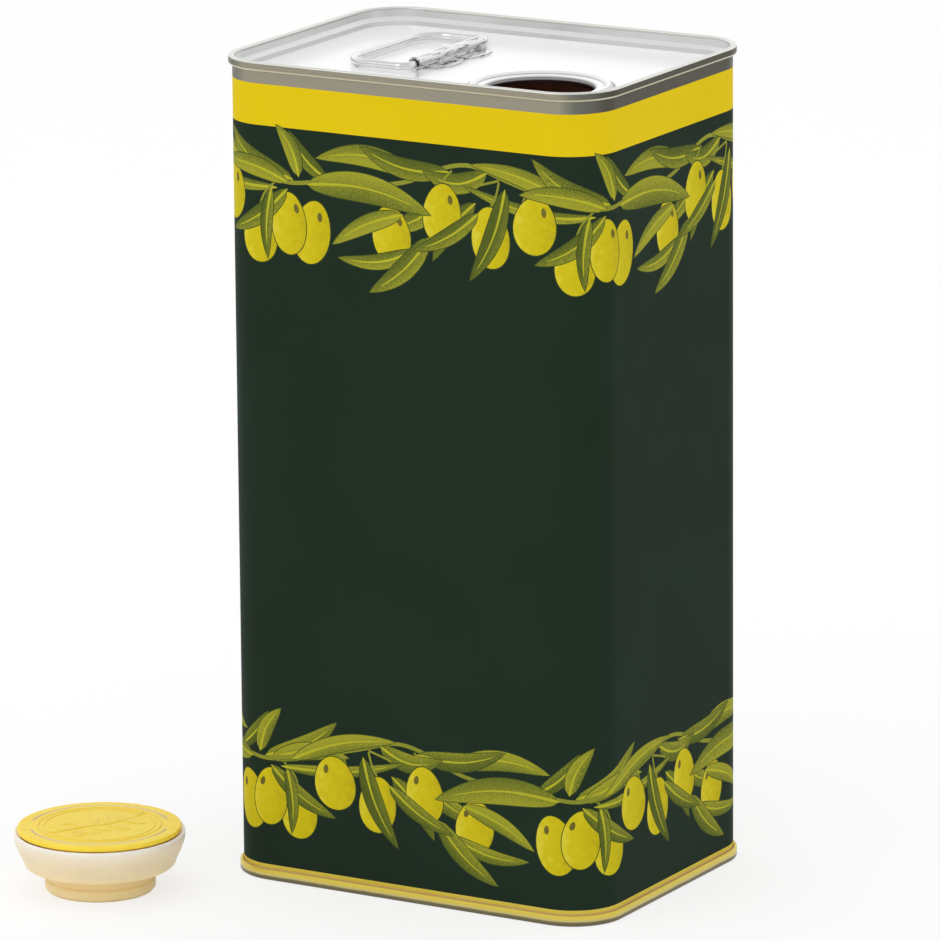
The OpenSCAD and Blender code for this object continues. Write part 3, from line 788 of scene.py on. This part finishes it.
# painted glow: where each plastic is painted paler and made to glow a little, as though lit through
cupPaintedGlow = {"inner": 24.4, "outer": 26.2, "inward": True, "colour": srgb(248, 234, 208), "light": 0.3}
sleevePaintedGlow = {"inner": 14.0, "outer": 18.0, "inward": False, "colour": srgb(246, 226, 190), "light": 0.16}
capPaintedGlow = {"inner": 20.5, "outer": 21.6, "inward": False, "colour": srgb(244, 224, 190), "light": 0.1}
cupPlastic = plasticMaterial("cup_plastic", grey(255), grey(250), rough=0.42, glow=0.4,
                             tiers=cupTiers, paintedGlow=cupPaintedGlow)
sleevePlastic = plasticMaterial("sleeve_plastic", srgb(247, 226, 190), srgb(242, 219, 180), rough=0.45,
                                glow=0.3, paintedGlow=sleevePaintedGlow)
capYellow = plasticMaterial("cap_yellow", srgb(255, 222, 66), srgb(254, 216, 58), rough=0.45,
                            glow=0.2, grain=(800.0, 0.0016), paintedGlow=capPaintedGlow)
foam = plasticMaterial("liner_foam", srgb(240, 238, 230), srgb(232, 230, 222), rough=0.8, glow=0.1)
dress(insideLacquer, "body_shell")
dress(topTin, "top_end")
dress(bottomEndMaterial(), "bottom_end")
dress(compound, "top_seam_compound", "bottom_seam_compound")
dress(clipSteel, "handle_bracket")
dress(wireSteel, "carry_handle")
dress(cupPlastic, "spout_base")
dress(cream, "pour_neck", "tear_seal")
dress(foam, "cap_liner")
dress(capYellow, "screw_cap", "front_bail", "back_bail")
print("pieces dressed")

# Welded side seam down the middle of the left wall, with the ripple of the weld
weld = {"wide": 0.9, "high": 0.16, "bottom": 3.8, "top": 251.0, "step": 0.8, "offWall": 0.02}


def buildWeld():
    count = int((weld["top"] - weld["bottom"]) / weld["step"])
    x = -tin["width"] / 2 - weld["offWall"]
    points = []
    for i in range(count + 1):
        z = weld["bottom"] + (weld["top"] - weld["bottom"]) * i / count
        high = weld["high"] * (0.75 + 0.25 * math.sin(i * 2.4))
        for y, out in ((-0.5, 0), (-0.25, 0.85), (0, 1), (0.25, 0.85), (0.5, 0)):
            points.append((x - high * out, y * weld["wide"], z))
    faces = tubeFaces(0, count + 1, 5)
    faces += [(4, 3, 2, 1, 0), tuple(range(5 * count, 5 * count + 5))]
    piece = makeMesh("side_weld", points, faces, [inks["bare"]])
    turnOutward(piece)
    return piece


sideWeld = buildWeld()
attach(sideWeld, "tin")


# Points given round the spout's own axis, turned and set down where it stands
def atSpout(points):
    turn = Matrix.Rotation(math.radians(spout["turn"]), 3, "Z")
    return [turn @ Vector(p) + Vector((spout["x"], spout["y"], 0)) for p in points]


# Folding wall between the cup's rim and the foot of the neck, pleated round
sleeve = {"line": [(24.05, 16.1), (24.05, 15.2), (23.93, 14.72), (23.01, 12.34), (21.25, 9.85),
                   (20.35, 8.95), (14.85, 8.95), (14.45, 7.8), (14.45, 2.5), (13.2, 1.75)],
          "thick": 0.5, "step": 0.35, "pleat": 1.5, "pleatHigh": 0.1, "fadeSteps": 6, "around": 72}


def buildSleeve():
    line = []
    for a, b in zip(sleeve["line"], sleeve["line"][1:]):
        a, b = Vector(a), Vector(b)
        count = max(1, round((b - a).length / sleeve["step"]))
        line += [a.lerp(b, i / count) for i in range(count)]
    line.append(Vector(sleeve["line"][-1]))
    section, back = [], []
    run = 0.0
    for i, point in enumerate(line):
        step = (line[min(i + 1, len(line) - 1)] - line[max(i - 1, 0)]).normalized()
        across = Vector((step.y, -step.x))
        fade = min(1.0, i / sleeve["fadeSteps"], (len(line) - 1 - i) / sleeve["fadeSteps"])
        lift = sleeve["pleatHigh"] * fade * math.sin(2 * math.pi * run / sleeve["pleat"])
        section.append(point + across * (lift + sleeve["thick"] / 2))
        back.append(point + across * (lift - sleeve["thick"] / 2))
        if i + 1 < len(line):
            run += (line[i + 1] - point).length
    section += back[::-1]
    points = []
    for i in range(sleeve["around"]):
        angle = 2 * math.pi * i / sleeve["around"]
        points += [(p.x * math.cos(angle), p.x * math.sin(angle), p.y) for p in section]
    faces = tubeFaces(0, sleeve["around"], len(section), loop=True)
    piece = makeMesh("folding_sleeve", atSpout(points), faces, [sleevePlastic])
    turnOutward(piece)
    return piece


foldingSleeve = buildSleeve()
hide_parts("spout_sleeve")
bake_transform(foldingSleeve)

threads = {
    "neck_thread": {"radius": 12.9, "high": 0.5, "wide": 0.55, "start": 8.2, "turns": 1.75, "side": 1,
                    "rides": "neck", "slot": "spout_plastic", "material": cream},
    "cap_thread": {"radius": 14.1, "high": 0.45, "wide": 0.55, "start": 11.2, "turns": 1.5, "side": -1,
                   "rides": "cap", "slot": "cap_plastic", "material": capYellow},
}
# sunk is how far a thread's foot lies in its wall, crest the share of its width left on top
threadForm = {"pitch": 3.0, "perTurn": 48, "fadeSteps": 6, "sunk": 0.15, "crest": 0.35}


# A thread with faded ends, let a little into its wall; side is -1 inside a skirt
def buildThread(name, values):
    perTurn, fadeSteps = threadForm["perTurn"], threadForm["fadeSteps"]
    steps = int(values["turns"] * perTurn)
    sunk, wide = -threadForm["sunk"], values["wide"]
    crest = wide * threadForm["crest"]
    points = []
    for i in range(steps + 1):
        angle = 2 * math.pi * i / perTurn
        z = values["start"] + threadForm["pitch"] * i / perTurn
        high = values["high"] * min(1.0, i / fadeSteps, (steps - i) / fadeSteps)
        for r, dz in ((sunk, -wide), (sunk, wide), (high, crest), (high, -crest)):
            reach = values["radius"] + values["side"] * r
            points.append((reach * math.cos(angle), reach * math.sin(angle), z + dz))
    faces = tubeFaces(0, steps + 1, 4) + [(0, 1, 2, 3), tuple(range(4 * steps, 4 * steps + 4))]
    piece = makeMesh(name, atSpout(points), faces, [values["material"]])
    turnOutward(piece)
    return piece


for name, values in threads.items():
    thread = buildThread(name, values)
    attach(thread, values["rides"])

cap = {"top": 19.9, "radius": 25.0, "ringInner": 21.5, "bridge": 5.0, "hingeGap": 0.35}
# lap is how far a web reaches past the gap, fromInner and fromRim how far it stays off the ring's edges
webForm = {"thick": 0.4, "inset": 0.25, "lap": 0.1, "dip": 0.12, "fromInner": 0.3, "fromRim": 0.7,
           "steps": 4}


# The two thin living hinges that join a pull ring to the cap's bridges
def buildWebs(name, side):
    points, faces = [], []
    top = cap["top"] - webForm["inset"]
    low = top - webForm["thick"]
    steps = webForm["steps"]
    inner = math.sqrt(cap["ringInner"] ** 2 - cap["bridge"] ** 2) + webForm["fromInner"]
    outer = math.sqrt(cap["radius"] ** 2 - cap["bridge"] ** 2) - webForm["fromRim"]
    width = cap["hingeGap"] + 2 * webForm["lap"]
    for end in (-1, 1):
        first = len(points)
        for i in range(steps + 1):
            y = side * (cap["bridge"] - webForm["lap"] + width * i / steps)
            dip = webForm["dip"] * math.sin(math.pi * i / steps)
            corners = ((inner, top - dip), (outer, top - dip), (outer, low + dip), (inner, low + dip))
            points += [(end * x, y, z) for x, z in corners]
        last = first + 4 * steps
        faces += tubeFaces(first, steps + 1, 4)
        faces += [tuple(range(first, first + 4)), tuple(range(last, last + 4))]
    piece = makeMesh(name, atSpout(points), faces, [capYellow], smooth=False)
    turnOutward(piece)
    return piece


for name, side, ring in (("front_hinge_webs", -1, "front_ring"), ("back_hinge_webs", 1, "back_ring")):
    webs = buildWebs(name, side)
    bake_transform(webs)

# A low moulded olive sprig in two fine rings on the cap's disc
relief = {
    "high": 0.24, "sunk": 0.1, "stemWide": 0.8, "ringSteps": 96, "ringFoot": 0.28, "ringCrest": 0.16,
    "stem": [(-11.5, -7), (-5.5, -3.2), (1, -0.4), (6.5, 3.2), (10.5, 8.2)],
    "leaves": [(-9.5, -5.6, 140, 8.5, 3.0, 0.8), (-8.5, -5, 318, 8.0, 2.7, -0.8),
               (-5.5, -3.2, 112, 9.5, 3.2, 1.0), (-3.5, -2.2, 330, 9.0, 3.0, -0.8),
               (-1, -1.2, 88, 9.5, 3.2, 1.0), (2.2, 0.3, 322, 9.5, 3.1, -1.0),
               (3.2, 1.0, 98, 9.0, 3.0, 1.0), (6.8, 3.6, 340, 8.0, 2.8, -0.8),
               (7.6, 4.6, 100, 7.5, 2.7, 0.8), (10.5, 8.2, 62, 6.0, 2.4, 0.4),
               (-11, -6.6, 200, 4.5, 2.0, 0.4)],
    "olives": [(-5.8, -10.4, 3.2, 4.4, 10), (-0.6, -8.2, 3.2, 4.4, -8), (-10.8, 1.6, 3.0, 4.2, 14),
               (7.8, -4.8, 3.0, 4.2, 12)],
    "rings": (16.9, 18.7),
}


def buildRelief():
    outlines = [strokeShape(relief["stem"], relief["stemWide"], 0.6)]
    outlines += [leafShapes(*row)[1] for row in relief["leaves"]]
    outlines += [oliveShape(*row) for row in relief["olives"]]
    # how far each level of a shape is drawn in, and how high it stands
    levels = ((1.0, -relief["sunk"]), (1.0, 0.05), (0.82, relief["high"] * 0.8), (0.5, relief["high"]))
    points, faces = [], []
    for outline in outlines:
        if signedArea(outline) < 0:
            outline = outline[::-1]
        centre = sum(outline, Vector((0, 0))) / len(outline)
        first, count = len(points), len(outline)
        for shrink, rise in levels:
            points += [(*(centre + (p - centre) * shrink), cap["top"] + rise) for p in outline]
        faces += tubeFaces(first, 4, count)
        faces += [tuple(range(first, first + count)), tuple(range(first + 3 * count, first + 4 * count))]
    sunk, foot, crest = -relief["sunk"], relief["ringFoot"], relief["ringCrest"]
    steps = relief["ringSteps"]
    for radius in relief["rings"]:
        first = len(points)
        for i in range(steps):
            angle = 2 * math.pi * i / steps
            for dr, rise in ((-foot, sunk), (foot, sunk), (crest, crest), (-crest, crest)):
                reach = radius + dr
                points.append((reach * math.cos(angle), reach * math.sin(angle), cap["top"] + rise))
        faces += tubeFaces(first, steps, 4, loop=True)
    piece = makeMesh("cap_relief", atSpout(points), faces, [capYellow], smooth=False)
    turnOutward(piece)
    return piece


capRelief = buildRelief()
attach(capRelief, "cap")
print("spout details done")
